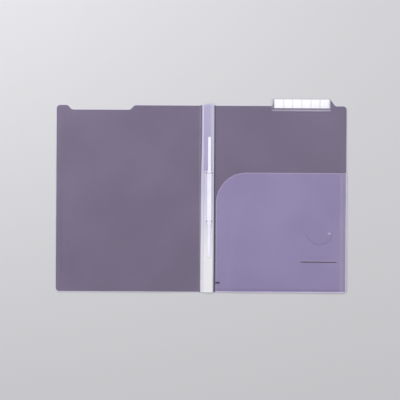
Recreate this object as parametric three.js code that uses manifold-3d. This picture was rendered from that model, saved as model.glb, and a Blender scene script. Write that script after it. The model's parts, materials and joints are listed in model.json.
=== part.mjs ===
// Chart holder for A4 sheets, lying open: one clear sheet folded into two covers and a narrow spine,
// a milky strip that binds a two-prong paper fastener, a corner pocket, and an index tab with a label.
// Millimetres. X runs across the open holder from the middle of its spine, Y up the covers from
// their foot, Z up from the table.

import * as THREE from 'three';
import { mergeVertices } from 'three/addons/utils/BufferGeometryUtils.js';
import Module from 'manifold-3d';

const wasm = await Module();
wasm.setup();

// Covers and spine
const SHEET = 0.3;
const COVER_WIDTH = 238.5;
const COVER_HEIGHT = 310;
const SPINE_WIDTH = 5;
const CREASE_GAP = 0.3;
const COVER_RADIUS = 5;

// Index label: a card of equal cells in a clear sleeve on the back cover's tab
const LABEL_CELLS = 6;
const CELL_PITCH = 15;
const CARD_MARGIN = 1.15;
const CARD_HEIGHT = 15;
const CARD_THICKNESS = 0.25;
const SLEEVE_INNER_MARGIN = 3.8;
const SLEEVE_OUTER_MARGIN = 1.4;
const SLEEVE_FILM = 0.2;
const SLEEVE_OVERLAP = 9.2;
const SLEEVE_WELD = 2.5;
const SLEEVE_RAMP = 1.5;

// Tab on the back cover, and the cut-out in the front cover that leaves it in sight
const TAB_INSET = 19;
const TAB_HEIGHT = 11;
const TAB_OUTER_SLANT = 8.5;
const TAB_INNER_SLANT = 2.5;
const TAB_RADIUS = 2;
const SLEEVE_PAST_TAB = 0.5;
const CUTOUT_DEPTH = 7.5;
const CUTOUT_SLANT = 7;
const CUTOUT_EASE = 4.8;
const CUTOUT_RADIUS = 4;

// Binding strip over the fastener's base
const STRIP_FILM = 0.4;
const STRIP_SETBACK = 0.15;
const STRIP_INNER_WELD = 1.8;
const STRIP_OUTER_WELD = 1.3;
const STRIP_RAMP = 0.7;
const STRIP_RISE_AT_HEAD = 3.5;
const SLOT_LENGTH = 9;
const SLOT_WIDTH = 2;

// Two-prong fastener for punched A4 sheets
const PAPER_HEIGHT = 297;
const PAPER_FOOT = 9.2;
const HOLE_PITCH = 80;
const BASE_WIDTH = 12.6;
const BASE_OVERHANG = 2;
const BASE_THICKNESS = 0.8;
const BASE_RADIUS = 2;
const BASE_SIDE_CLEARANCE = 0.45;
const PRONG_OFFSET = 1.25;
const PRONG_WIDTH = 5;
const PRONG_THICKNESS = 0.5;
const PRONG_LENGTH = 60;
const PRONG_SLOPE = 6;
const BAR_WIDTH = 7;
const BAR_THICKNESS = 1;
const BAR_OVERHANG = 4.5;
const BAR_SHOULDER = 0.8;
const BAR_HOLE_CLEARANCE = 0.3;

// Pocket on the back cover, welded along the foot and the free edge
const POCKET_FILM = 0.2;
const POCKET_GAP = 3.8;
const POCKET_HEIGHT = 198.5;
const POCKET_RADIUS = 50;
const POCKET_ROOM = 1;
const POCKET_WELD = 3;
const POCKET_SIDE_FOLD = 10.4;
const POCKET_FOOT_FOLD = 6;
const NOTCH_DEPTH = 7;
const NOTCH_WIDTH = 3;
const NOTCH_HEIGHT = 16;
const SLIT_LENGTH = 59;
const SLIT_WIDTH = 1.8;
const SLIT_HEIGHT = 51.2;
const SLIT_INSET = 17;
const THUMB_CUT_RADIUS = 21;
const THUMB_CUT_WIDTH = 0.7;
const THUMB_CUT_INSET = 45;
const THUMB_CUT_HEIGHT = 100.6;

// Running gaps and facets
const FILM_CLEARANCE = 0.3;
const EDGE_CLEARANCE = 0.2;
const ARC_SEGMENTS = 16;

// Places worked out from the sizes above
const CREASE_EDGE = (SPINE_WIDTH + CREASE_GAP) / 2;
const FREE_EDGE = SPINE_WIDTH / 2 + COVER_WIDTH;
const TAB_TOP = COVER_HEIGHT + TAB_HEIGHT;
const TAB_OUTER = FREE_EDGE - TAB_INSET;
const CARD_WIDTH = LABEL_CELLS * CELL_PITCH + 2 * CARD_MARGIN;
const SLEEVE_WIDTH = CARD_WIDTH + SLEEVE_INNER_MARGIN + SLEEVE_OUTER_MARGIN;
const SLEEVE_OUTER = TAB_OUTER - TAB_OUTER_SLANT;
const SLEEVE_INNER = SLEEVE_OUTER - SLEEVE_WIDTH;
const TAB_INNER = SLEEVE_INNER + SLEEVE_PAST_TAB;
const SLEEVE_TOP = TAB_TOP + EDGE_CLEARANCE + SLEEVE_FILM;
const STRIP_START = CREASE_EDGE + STRIP_SETBACK;
const BASE_START = STRIP_START + STRIP_INNER_WELD + STRIP_RAMP + BASE_SIDE_CLEARANCE;
const BASE_CENTRE = BASE_START + BASE_WIDTH / 2;
const PRONG_CENTRE = BASE_CENTRE + PRONG_OFFSET;
const STRIP_END = BASE_START + BASE_WIDTH + BASE_SIDE_CLEARANCE + STRIP_RAMP + STRIP_OUTER_WELD;
const POCKET_START = STRIP_END + POCKET_GAP;
const FASTENER_CENTRE = PAPER_FOOT + PAPER_HEIGHT / 2;
const BASE_TOP = SHEET + BASE_THICKNESS;
const STRIP_TOP = BASE_TOP + FILM_CLEARANCE + STRIP_FILM;
const BAR_TOP = STRIP_TOP + BAR_THICKNESS;
const POCKET_UNDERSIDE = SHEET + POCKET_ROOM;

const clearFilm = new THREE.MeshStandardMaterial({
  color: 0xb9b0cb, roughness: 0.3, metalness: 0, transparent: true, opacity: 0.4,
});
const milkyFilm = new THREE.MeshStandardMaterial({ color: 0xe2deef, roughness: 0.4, metalness: 0 });
const whitePlastic = new THREE.MeshStandardMaterial({ color: 0xf2f0fa, roughness: 0.35, metalness: 0 });
const cardStock = new THREE.MeshStandardMaterial({ color: 0xfafafa, roughness: 0.8, metalness: 0 });

// A closed outline through corners of [x, y, radius], each rounded by its own radius.
function roundedShape(corners) {
  const outline = corners.flatMap(([x, y, radius = 0], i) => {
    const corner = new THREE.Vector2(x, y);
    if (radius === 0) return [corner];
    const back = new THREE.Vector2(...corners.at(i - 1)).sub(corner).normalize();
    const on = new THREE.Vector2(...corners[(i + 1) % corners.length]).sub(corner).normalize();
    const halfAngle = Math.acos(back.dot(on)) / 2;
    const reach = radius / Math.tan(halfAngle);
    const bisector = back.clone().add(on).normalize();
    const centre = corner.clone().addScaledVector(bisector, radius / Math.sin(halfAngle));
    const start = corner.clone().addScaledVector(back, reach).sub(centre).angle();
    const end = corner.clone().addScaledVector(on, reach).sub(centre).angle();
    const arc = new THREE.EllipseCurve(
      centre.x, centre.y, radius, radius, start, end, back.cross(on) > 0,
    );
    return arc.getPoints(ARC_SEGMENTS);
  });
  return new THREE.Shape(outline);
}

// An outline of even thickness along an open run of [x, y] points, with mitred corners.
function bandShape(points, thickness) {
  const run = points.map(([x, y]) => new THREE.Vector2(x, y));
  const normalAfter = (i) => {
    const step = run[i + 1].clone().sub(run[i]).normalize();
    return new THREE.Vector2(-step.y, step.x);
  };
  const last = run.length - 1;
  const offset = run.map((_, i) => {
    const before = normalAfter(Math.max(i - 1, 0));
    const after = normalAfter(Math.min(i, last - 1));
    const mitre = before.clone().add(after).normalize();
    return mitre.multiplyScalar(thickness / 2 / mitre.dot(before));
  });
  const near = run.map((point, i) => point.clone().sub(offset[i]));
  const far = run.map((point, i) => point.clone().add(offset[i]));
  return new THREE.Shape([...near, ...far.reverse()]);
}

function rectangle(x0, y0, x1, y1) {
  return roundedShape([[x0, y0], [x1, y0], [x1, y1], [x0, y1]]);
}

// Extrusions of a plan outline upwards, of an X-Z section along Y, and of a Y-Z section along X
function upwards(shape, from, to) {
  const options = { depth: to - from, bevelEnabled: false, curveSegments: ARC_SEGMENTS };
  return new THREE.ExtrudeGeometry(shape, options).translate(0, 0, from);
}

function alongY(shape, from, to) {
  const geometry = upwards(shape, -to, -from);
  return geometry.rotateX(Math.PI / 2);
}

function alongX(shape, from, to) {
  const geometry = upwards(shape, from, to);
  return geometry.rotateX(Math.PI / 2).rotateZ(Math.PI / 2);
}

function solid(geometry) {
  const bare = geometry.clone();
  bare.deleteAttribute('normal');
  bare.deleteAttribute('uv');
  const merged = mergeVertices(bare);
  return new wasm.Manifold(new wasm.Mesh({
    numProp: 3,
    vertProperties: merged.attributes.position.array,
    triVerts: Uint32Array.from(merged.index.array),
  }));
}

function geometryOf(manifold) {
  const mesh = manifold.getMesh();
  const geometry = new THREE.BufferGeometry();
  geometry.setAttribute('position', new THREE.BufferAttribute(mesh.vertProperties, 3));
  geometry.setIndex(new THREE.BufferAttribute(mesh.triVerts, 1));
  geometry.computeVertexNormals();
  return geometry;
}

function frontCover() {
  const outer = -TAB_OUTER;
  const inner = -(TAB_INNER - CUTOUT_EASE);
  const floor = COVER_HEIGHT - CUTOUT_DEPTH;
  return upwards(roundedShape([
    [-CREASE_EDGE, 0],
    [-CREASE_EDGE, COVER_HEIGHT],
    [inner, COVER_HEIGHT, CUTOUT_RADIUS],
    [inner - CUTOUT_SLANT, floor, CUTOUT_RADIUS],
    [outer + CUTOUT_SLANT, floor, CUTOUT_RADIUS],
    [outer, COVER_HEIGHT, CUTOUT_RADIUS],
    [-FREE_EDGE, COVER_HEIGHT, COVER_RADIUS],
    [-FREE_EDGE, 0, COVER_RADIUS],
  ]), 0, SHEET);
}

function spinePanel() {
  const half = (SPINE_WIDTH - CREASE_GAP) / 2;
  return upwards(rectangle(-half, 0, half, COVER_HEIGHT), 0, SHEET);
}

function backCover() {
  return upwards(roundedShape([
    [CREASE_EDGE, 0],
    [FREE_EDGE, 0, COVER_RADIUS],
    [FREE_EDGE, COVER_HEIGHT, COVER_RADIUS],
    [TAB_OUTER, COVER_HEIGHT, TAB_RADIUS],
    [TAB_OUTER - TAB_OUTER_SLANT, TAB_TOP, TAB_RADIUS],
    [TAB_INNER + TAB_INNER_SLANT, TAB_TOP, TAB_RADIUS],
    [TAB_INNER, COVER_HEIGHT, TAB_RADIUS],
    [CREASE_EDGE, COVER_HEIGHT],
  ]), 0, SHEET);
}

// The strip is welded down along both sides and stands over the fastener's base between them.
function bindingStrip() {
  const down = SHEET + STRIP_FILM / 2;
  const up = STRIP_TOP - STRIP_FILM / 2;
  const section = bandShape([
    [STRIP_START, down],
    [STRIP_START + STRIP_INNER_WELD, down],
    [STRIP_START + STRIP_INNER_WELD + STRIP_RAMP, up],
    [STRIP_END - STRIP_OUTER_WELD - STRIP_RAMP, up],
    [STRIP_END - STRIP_OUTER_WELD, down],
    [STRIP_END, down],
  ], STRIP_FILM);
  const head = COVER_HEIGHT + STRIP_RISE_AT_HEAD;
  const slantedHead = upwards(roundedShape([
    [STRIP_START, 0],
    [STRIP_END, 0],
    [STRIP_END, head],
    [STRIP_START, COVER_HEIGHT],
  ]), 0, BAR_TOP);
  let strip = solid(alongY(section, 0, head)).intersect(solid(slantedHead));
  for (const side of [-1, 1]) {
    const y = FASTENER_CENTRE + side * HOLE_PITCH / 2;
    const slot = roundedShape([
      [PRONG_CENTRE - SLOT_LENGTH / 2, y - SLOT_WIDTH / 2, SLOT_WIDTH / 4],
      [PRONG_CENTRE + SLOT_LENGTH / 2, y - SLOT_WIDTH / 2, SLOT_WIDTH / 4],
      [PRONG_CENTRE + SLOT_LENGTH / 2, y + SLOT_WIDTH / 2, SLOT_WIDTH / 4],
      [PRONG_CENTRE - SLOT_LENGTH / 2, y + SLOT_WIDTH / 2, SLOT_WIDTH / 4],
    ]);
    strip = strip.subtract(solid(upwards(slot, 0, BAR_TOP)));
  }
  return geometryOf(strip);
}

// One prong: up from the base through strip and bar, over the bar's end, then flat on the strip
function prong(side) {
  const root = FASTENER_CENTRE + side * HOLE_PITCH / 2;
  const over = BAR_TOP + PRONG_THICKNESS / 2;
  const flat = STRIP_TOP + PRONG_THICKNESS / 2;
  const pastBar = root + side * (BAR_OVERHANG + FILM_CLEARANCE);
  const tip = root + side * PRONG_LENGTH;
  const section = bandShape([
    [root, SHEET + BASE_THICKNESS / 2],
    [root, over],
    [pastBar, over],
    [pastBar + side * PRONG_SLOPE, flat],
    [tip, flat],
  ], PRONG_THICKNESS);
  const half = PRONG_WIDTH / 2;
  const start = root - side * PRONG_THICKNESS;
  const corners = [
    [PRONG_CENTRE - half, start],
    [PRONG_CENTRE + half, start],
    [PRONG_CENTRE + half, tip, half - EDGE_CLEARANCE],
    [PRONG_CENTRE - half, tip, half - EDGE_CLEARANCE],
  ];
  const roundTip = upwards(roundedShape(side > 0 ? corners : corners.reverse()), 0, 2 * over);
  const bar = alongX(section, PRONG_CENTRE - half, PRONG_CENTRE + half);
  return solid(bar).intersect(solid(roundTip));
}

function fastenerBase() {
  const halfWidth = BASE_WIDTH / 2;
  const halfLength = HOLE_PITCH / 2 + BASE_OVERHANG;
  const plate = upwards(roundedShape([
    [BASE_CENTRE - halfWidth, FASTENER_CENTRE - halfLength, BASE_RADIUS],
    [BASE_CENTRE + halfWidth, FASTENER_CENTRE - halfLength, BASE_RADIUS],
    [BASE_CENTRE + halfWidth, FASTENER_CENTRE + halfLength, BASE_RADIUS],
    [BASE_CENTRE - halfWidth, FASTENER_CENTRE + halfLength, BASE_RADIUS],
  ]), SHEET, BASE_TOP);
  return geometryOf(solid(plate).add(prong(-1)).add(prong(1)));
}

// The bar that holds the sheets down, with shoulders along its sides and a hole for each prong
function compressorBar() {
  const half = BAR_WIDTH / 2;
  const halfLength = HOLE_PITCH / 2 + BAR_OVERHANG;
  const rim = BAR_THICKNESS / 2;
  const section = roundedShape([
    [PRONG_CENTRE - half, STRIP_TOP],
    [PRONG_CENTRE + half, STRIP_TOP],
    [PRONG_CENTRE + half, STRIP_TOP + rim],
    [PRONG_CENTRE + half - BAR_SHOULDER, BAR_TOP],
    [PRONG_CENTRE - half + BAR_SHOULDER, BAR_TOP],
    [PRONG_CENTRE - half, STRIP_TOP + rim],
  ]);
  const plan = upwards(roundedShape([
    [PRONG_CENTRE - half, FASTENER_CENTRE - halfLength, BAR_OVERHANG / 2],
    [PRONG_CENTRE + half, FASTENER_CENTRE - halfLength, BAR_OVERHANG / 2],
    [PRONG_CENTRE + half, FASTENER_CENTRE + halfLength, BAR_OVERHANG / 2],
    [PRONG_CENTRE - half, FASTENER_CENTRE + halfLength, BAR_OVERHANG / 2],
  ]), 0, 2 * BAR_TOP);
  let bar = solid(alongY(section, FASTENER_CENTRE - halfLength, FASTENER_CENTRE + halfLength));
  bar = bar.intersect(solid(plan));
  const holeX = PRONG_WIDTH / 2 + BAR_HOLE_CLEARANCE;
  const holeY = PRONG_THICKNESS / 2 + BAR_HOLE_CLEARANCE;
  for (const side of [-1, 1]) {
    const y = FASTENER_CENTRE + side * HOLE_PITCH / 2;
    const hole = rectangle(PRONG_CENTRE - holeX, y - holeY, PRONG_CENTRE + holeX, y + holeY);
    bar = bar.subtract(solid(upwards(hole, 0, 2 * BAR_TOP)));
  }
  return geometryOf(bar);
}

// Everything under the pocket's film, raised by lift: low at both welds, full height past the folds
function underPocket(lift) {
  const low = SHEET + lift;
  const high = POCKET_UNDERSIDE + lift;
  const across = new THREE.Shape([
    [0, -1],
    [FREE_EDGE, -1],
    [FREE_EDGE, low],
    [FREE_EDGE - POCKET_WELD, low],
    [FREE_EDGE - POCKET_SIDE_FOLD, high],
    [0, high],
  ].map(([x, z]) => new THREE.Vector2(x, z)));
  const upward = new THREE.Shape([
    [0, -1],
    [COVER_HEIGHT, -1],
    [COVER_HEIGHT, high],
    [POCKET_FOOT_FOLD, high],
    [POCKET_WELD, low],
    [0, low],
  ].map(([y, z]) => new THREE.Vector2(y, z)));
  const side = solid(alongY(across, 0, COVER_HEIGHT));
  return side.intersect(solid(alongX(upward, 0, FREE_EDGE)));
}

function pocketSheet() {
  const top = POCKET_UNDERSIDE + 2 * POCKET_FILM;
  const notch = [NOTCH_HEIGHT - NOTCH_WIDTH / 2, NOTCH_HEIGHT + NOTCH_WIDTH / 2];
  const plan = upwards(roundedShape([
    [POCKET_START, 0],
    [FREE_EDGE, 0, COVER_RADIUS],
    [FREE_EDGE, POCKET_HEIGHT],
    [POCKET_START, POCKET_HEIGHT, POCKET_RADIUS],
    [POCKET_START, notch[1]],
    [POCKET_START + NOTCH_DEPTH, notch[1], NOTCH_WIDTH / 3],
    [POCKET_START + NOTCH_DEPTH, notch[0], NOTCH_WIDTH / 3],
    [POCKET_START, notch[0]],
  ]), SHEET, top);
  const slitEnd = FREE_EDGE - SLIT_INSET;
  const slit = upwards(rectangle(
    slitEnd - SLIT_LENGTH, SLIT_HEIGHT - SLIT_WIDTH / 2, slitEnd, SLIT_HEIGHT + SLIT_WIDTH / 2,
  ), 0, top);
  const thumbX = FREE_EDGE - THUMB_CUT_INSET;
  const thumb = new THREE.Shape();
  thumb.absarc(thumbX, THUMB_CUT_HEIGHT, THUMB_CUT_RADIUS, Math.PI, 2 * Math.PI, false);
  thumb.absarc(thumbX, THUMB_CUT_HEIGHT, THUMB_CUT_RADIUS - THUMB_CUT_WIDTH, 2 * Math.PI, Math.PI, true);
  thumb.closePath();
  const film = underPocket(POCKET_FILM).subtract(underPocket(0)).intersect(solid(plan));
  const cuts = solid(slit).add(solid(upwards(thumb, 0, top)));
  return geometryOf(film.subtract(cuts));
}

// The sleeve is welded below the tab, stands clear of the card and closes over the tab's top edge.
function indexSleeve() {
  const down = SHEET + SLEEVE_FILM / 2;
  const up = SHEET + CARD_THICKNESS + FILM_CLEARANCE + SLEEVE_FILM / 2;
  const foot = COVER_HEIGHT - SLEEVE_OVERLAP;
  const lip = SLEEVE_TOP - SLEEVE_FILM / 2;
  const section = bandShape([
    [foot, down],
    [foot + SLEEVE_WELD, down],
    [foot + SLEEVE_WELD + SLEEVE_RAMP, up],
    [lip, up],
    [lip, 0],
  ], SLEEVE_FILM);
  return alongX(section, SLEEVE_INNER, SLEEVE_OUTER);
}

function labelCard() {
  const outer = SLEEVE_OUTER - SLEEVE_OUTER_MARGIN;
  const top = TAB_TOP - EDGE_CLEARANCE;
  const card = rectangle(outer - CARD_WIDTH, top - CARD_HEIGHT, outer, top);
  return upwards(card, SHEET, SHEET + CARD_THICKNESS);
}

const holder = new THREE.Group();
for (const [name, geometry, material] of [
  ['front_cover', frontCover(), clearFilm],
  ['spine_panel', spinePanel(), clearFilm],
  ['back_cover', backCover(), clearFilm],
  ['pocket_sheet', pocketSheet(), clearFilm],
  ['binding_strip', bindingStrip(), milkyFilm],
  ['fastener_base', fastenerBase(), whitePlastic],
  ['compressor_bar', compressorBar(), whitePlastic],
  ['index_sleeve', indexSleeve(), clearFilm],
  ['label_card', labelCard(), cardStock],
]) {
  const mesh = new THREE.Mesh(geometry, material);
  mesh.name = name;
  holder.add(mesh);
}

// The origin is under the middle of the whole open holder.
holder.position.y = -SLEEVE_TOP / 2;

export default holder;
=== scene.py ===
"""Chart holder for A4 sheets, lying open: a folded clear sheet, a binding strip with its two-prong
fastener, a corner pocket and an index tab with its label.

Sizes are in metres, in the frame's axes: X across the open holder, Y up the covers, Z up.
"""

import json
import logging
import math
from collections.abc import Callable, Iterable
from dataclasses import dataclass, field
from enum import Enum, IntEnum

import bmesh
import bpy
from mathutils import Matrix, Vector


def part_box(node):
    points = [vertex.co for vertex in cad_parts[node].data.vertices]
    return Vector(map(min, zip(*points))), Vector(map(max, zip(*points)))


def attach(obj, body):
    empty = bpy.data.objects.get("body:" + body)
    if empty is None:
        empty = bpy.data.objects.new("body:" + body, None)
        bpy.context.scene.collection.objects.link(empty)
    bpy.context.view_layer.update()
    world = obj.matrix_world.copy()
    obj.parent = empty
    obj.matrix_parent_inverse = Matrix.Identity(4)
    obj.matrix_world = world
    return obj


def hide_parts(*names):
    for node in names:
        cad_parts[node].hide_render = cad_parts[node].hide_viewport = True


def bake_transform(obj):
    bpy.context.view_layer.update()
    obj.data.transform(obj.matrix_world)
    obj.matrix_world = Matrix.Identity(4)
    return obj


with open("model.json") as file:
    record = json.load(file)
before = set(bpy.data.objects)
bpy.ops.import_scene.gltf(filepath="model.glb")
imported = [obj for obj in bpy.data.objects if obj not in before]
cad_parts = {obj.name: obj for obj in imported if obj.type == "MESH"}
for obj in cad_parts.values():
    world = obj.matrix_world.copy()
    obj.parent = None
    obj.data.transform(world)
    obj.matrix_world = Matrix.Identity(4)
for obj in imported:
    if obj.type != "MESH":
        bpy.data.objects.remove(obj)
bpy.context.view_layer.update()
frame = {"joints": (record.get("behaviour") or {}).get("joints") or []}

log = logging.getLogger("chart_holder")

BACK = "back"
SPINE = "spine"
FRONT = "front"

NEAR = 2e-5
SLIVER = 5e-5
MERGE = 4e-6
CUT_THRESHOLD = 1e-6
FLAT_ANGLE = math.radians(1)
SMOOTH_ANGLE = math.radians(30)
EDGE_ANGLE = math.radians(40)
EDGE_SEGMENTS = 2
ARC_SEGMENTS = 6
SMALL_ARC_SEGMENTS = 4
GRID = 0.014
COVER_RADIUS = 0.0065
MM_PER_M = 1000
NOISE_SPREAD = (0.3, 0.7)
MIX_COLOURS = (6, 7)
MIX_RESULT = 2

Colour = tuple[float, float, float]
Range = tuple[float, float]
Opening = tuple[Range, Range]
Socket = bpy.types.NodeSocket
Thing = bpy.types.Object
Test = Callable[[Vector], bool]
Weight = Callable[[Vector], float]


class Choice(Enum):
    """What a selection in edit mode is made of."""

    VERTICES = "VERT"
    EDGES = "EDGE"
    FACES = "FACE"


class Patch(IntEnum):
    """Which of a piece's finishes a patch of it has."""

    BODY = 0
    EDGE = 1
    MARK = 2
    FOLD = 3


class Grain(Enum):
    """How the fine surface pattern of a finish runs."""

    EVEN = (1.0, 1.0, 1.0)
    UP_THE_COVERS = (1.0, 0.04, 1.0)
    ROLLED = (1.0, 0.012, 1.0)
    ACROSS_THE_WELD = (0.05, 1.0, 1.0)


class NodeSheet:
    """The node tree of one material, built up from its shader."""

    def __init__(self, name: str) -> None:
        """Starts a material.

        Args:
            name: the material's name.
        """
        self.material = bpy.data.materials.new(name)
        self.material.use_nodes = True
        self.tree = self.material.node_tree
        self.shader = self.tree.nodes["Principled BSDF"]

    def add(self, kind: str, **sockets: object) -> bpy.types.Node:
        """Adds a node and sets or links its inputs.

        Args:
            kind: the node's type name.
            sockets: input name, with _ for a space, to a value or another node's output.

        Returns:
            The new node.
        """
        node = self.tree.nodes.new(kind)
        for key, value in sockets.items():
            self.feed(node, key.replace("_", " "), value)
        return node

    def feed(self, node: bpy.types.Node, key: str | int, value: object) -> None:
        """Links an output to an input, or sets the input's value.

        Args:
            node: the node with the input.
            key: the input's name or number.
            value: the output or the value.
        """
        if isinstance(value, Socket):
            self.tree.links.new(value, node.inputs[key])
        else:
            node.inputs[key].default_value = value

    def math(self, operation: str, first: object, second: object = 0.0) -> Socket:
        """Adds a Math node.

        Args:
            operation: the node's operation.
            first: its first input.
            second: its second input.

        Returns:
            The node's output.
        """
        node = self.tree.nodes.new("ShaderNodeMath")
        node.operation = operation
        self.feed(node, 0, first)
        self.feed(node, 1, second)
        return node.outputs[0]

    def place(self, scale: Colour = (1.0, 1.0, 1.0)) -> Socket:
        """Returns the piece's own coordinates, stretched by scale."""
        coordinates = self.add("ShaderNodeTexCoord").outputs["Object"]
        return self.add("ShaderNodeMapping", Vector=coordinates, Scale=scale).outputs[0]

    def noise(self, size: float, place: Socket, detail: float = 3.0) -> Socket:
        """Adds noise.

        Args:
            size: the size of its features.
            place: the coordinates that it reads.
            detail: how fine its smallest features are.

        Returns:
            The noise's value.
        """
        node = self.add("ShaderNodeTexNoise", Vector=place, Scale=1 / size, Detail=detail)
        return node.outputs["Fac"]

    def blend(self, factor: object, first: object, second: object) -> Socket:
        """Mixes two colours.

        Args:
            factor: the second colour's share.
            first: the first colour.
            second: the second colour.

        Returns:
            The colour between them.
        """
        node = self.tree.nodes.new("ShaderNodeMix")
        node.data_type = "RGBA"
        self.feed(node, 0, factor)
        for key, value in zip(MIX_COLOURS, (first, second)):
            self.feed(node, key, (*value, 1.0) if isinstance(value, tuple) else value)
        return node.outputs[MIX_RESULT]

    def along(self, axis: str) -> Socket:
        """Returns the piece's own X, Y or Z."""
        place = self.add("ShaderNodeTexCoord").outputs["Object"]
        return self.add("ShaderNodeSeparateXYZ", Vector=place).outputs[axis]

    def off(self, axis: str, middle: float) -> Socket:
        """Returns how far a point lies from the middle, along an axis and on either side."""
        return self.math("ABSOLUTE", self.math("SUBTRACT", self.along(axis), middle))

    def ramp(self, value: Socket, start: Range, end: Range) -> Socket:
        """Maps a range of a value smoothly onto another range.

        Args:
            value: the value.
            start: the two ends of the range that it is read in.
            end: what they become.

        Returns:
            The mapped value.
        """
        node = self.add("ShaderNodeMapRange", Value=value)
        node.interpolation_type = "SMOOTHSTEP"
        for key, amount in zip(("From Min", "From Max", "To Min", "To Max"), (*start, *end)):
            node.inputs[key].default_value = amount
        return node.outputs[0]

    def stretch(self, value: Socket, low: float, high: float) -> Socket:
        """Returns a noise's middle range mapped onto low to high."""
        return self.ramp(value, NOISE_SPREAD, (low, high))


@dataclass(frozen=True)
class Finish:
    """A plastic surface: slow change of colour, faint streaks, uneven gloss and a fine grain."""

    name: str
    colour: Colour
    tint: Colour
    solidity: float = 1.0
    gloss: Range = (0.3, 0.42)
    drift: float = 0.09
    smear_share: float = 0.25
    streak: float = 0.004
    streak_share: float = 0.25
    detail: float = 2.0
    grain_size: float = 0.0012
    grain_depth: float = 0.00002
    grain_strength: float = 0.5
    grain: Grain = Grain.EVEN

    def share(self, nodes: NodeSheet) -> Socket:
        """Mixes slow drift and faint streaks.

        Args:
            nodes: the material's nodes.

        Returns:
            How much of the tint shows over the surface.
        """
        clouds = nodes.noise(self.drift, nodes.place(), self.detail)
        streaks = nodes.noise(self.streak, nodes.place(Grain.UP_THE_COVERS.value), self.detail)
        slow = nodes.stretch(clouds, 0.0, 1.0 - self.streak_share)
        return nodes.math("ADD", slow, nodes.stretch(streaks, 0.0, self.streak_share))

    def coloured(self, nodes: NodeSheet) -> Socket:
        """Returns the colour over the surface."""
        return nodes.blend(self.share(nodes), self.colour, self.tint)

    def material(self) -> bpy.types.Material:
        """Makes the finish.

        Returns:
            The finish as a material.
        """
        nodes = NodeSheet(self.name)
        nodes.feed(nodes.shader, "Base Color", self.coloured(nodes))
        smear = nodes.noise(self.drift * self.smear_share, nodes.place(Grain.UP_THE_COVERS.value))
        nodes.feed(nodes.shader, "Roughness", nodes.stretch(smear, *self.gloss))
        fine = nodes.noise(self.grain_size, nodes.place(self.grain.value), self.detail)
        bump = nodes.add("ShaderNodeBump", Height=fine, Strength=self.grain_strength)
        nodes.feed(bump, "Distance", self.grain_depth)
        nodes.feed(nodes.shader, "Normal", bump.outputs[0])
        nodes.shader.inputs["Alpha"].default_value = self.solidity
        return nodes.material


@dataclass(frozen=True)
class StreakedFilm(Finish):
    """Film with a zone of stronger streaks, where it was rolled."""

    zone: float = 0.0
    reach: Range = (0.014, 0.014 / 3)
    roll_streak: float = 0.0026
    roll_share: Range = (-0.5, 1.0)
    strength: float = 0.9

    def share(self, nodes: NodeSheet) -> Socket:
        """Adds the zone's streaks.

        Args:
            nodes: the material's nodes.

        Returns:
            How much of the tint shows over the surface.
        """
        near = nodes.ramp(nodes.off("X", self.zone), self.reach, (0.0, self.strength))
        streaks = nodes.noise(self.roll_streak, nodes.place(Grain.ROLLED.value), 1.0)
        extra = nodes.math("MULTIPLY", near, nodes.stretch(streaks, *self.roll_share))
        return nodes.math("ADD", super().share(nodes), extra)


@dataclass(frozen=True)
class StripFilm(Finish):
    """Milky film: lavender at its head, whiter at its sides and over the plate, and painted glare
    that whitens it towards its foot.
    """

    white: Colour = (0.97, 0.97, 1.0)
    middle: float = 0.0100
    half_width: Range = (0.0030, 0.0095)
    side_share: float = 0.36
    plate_head: Range = (0.0395, 0.0365)
    plate_share: float = 0.40
    # Painted highlight: glare that whitens the film towards its foot.
    foot_glare_reach: Range = (0.02, -0.125)
    foot_glare_share: float = 0.66

    def coloured(self, nodes: NodeSheet) -> Socket:
        """Whitens the film at its sides and over the plate, and paints glare that whitens it
        towards its foot.

        Args:
            nodes: the material's nodes.

        Returns:
            The film's colour.
        """
        side = nodes.ramp(nodes.off("X", self.middle), self.half_width, (0.0, self.side_share))
        plate = nodes.ramp(nodes.along("Y"), self.plate_head, (0.0, self.plate_share))
        # Painted highlight: glare whitening the film towards its foot.
        foot = nodes.ramp(nodes.along("Y"), self.foot_glare_reach, (0.0, self.foot_glare_share))
        whiter = nodes.math("ADD", nodes.math("MAXIMUM", side, plate), foot)
        milk_and_glare = nodes.math("MINIMUM", whiter, 1.0)
        return nodes.blend(milk_and_glare, super().coloured(nodes), self.white)


@dataclass(frozen=True)
class PrintedCard(Finish):
    """White card with thin grey lines round its cells."""

    start: float = 0.0
    pitch: float = 0.015
    line: float = 0.0006
    ink: Colour = (0.30, 0.30, 0.34)

    def coloured(self, nodes: NodeSheet) -> Socket:
        """Draws the lines between the cells.

        Args:
            nodes: the material's nodes.

        Returns:
            The card's colour.
        """
        paper = super().coloured(nodes)
        along = nodes.math("SUBTRACT", nodes.along("X"), self.start)
        turns = nodes.math("DIVIDE", along, self.pitch)
        off_line = nodes.math("PINGPONG", turns, 0.5)
        inked = nodes.math("LESS_THAN", off_line, self.line / 2 / self.pitch)
        return nodes.blend(inked, paper, self.ink)


CLEAR = StreakedFilm(
    "clear_sheet", (0.124, 0.083, 0.187), (0.154, 0.106, 0.226), 0.4, (0.285, 0.305),
    zone=-0.233, strength=0.8, streak_share=0.03,
)
# Painted highlight: the bright band along the sheets' cut edges.
CUT_EDGE_HIGHLIGHT = Finish("cut_sheet_edge", (0.68, 0.63, 0.78), (0.78, 0.73, 0.86), 0.55, (0.3, 0.4))
CREASE = Finish("scored_crease", (0.28, 0.22, 0.38), (0.36, 0.29, 0.46), 0.4, (0.4, 0.5))
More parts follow.
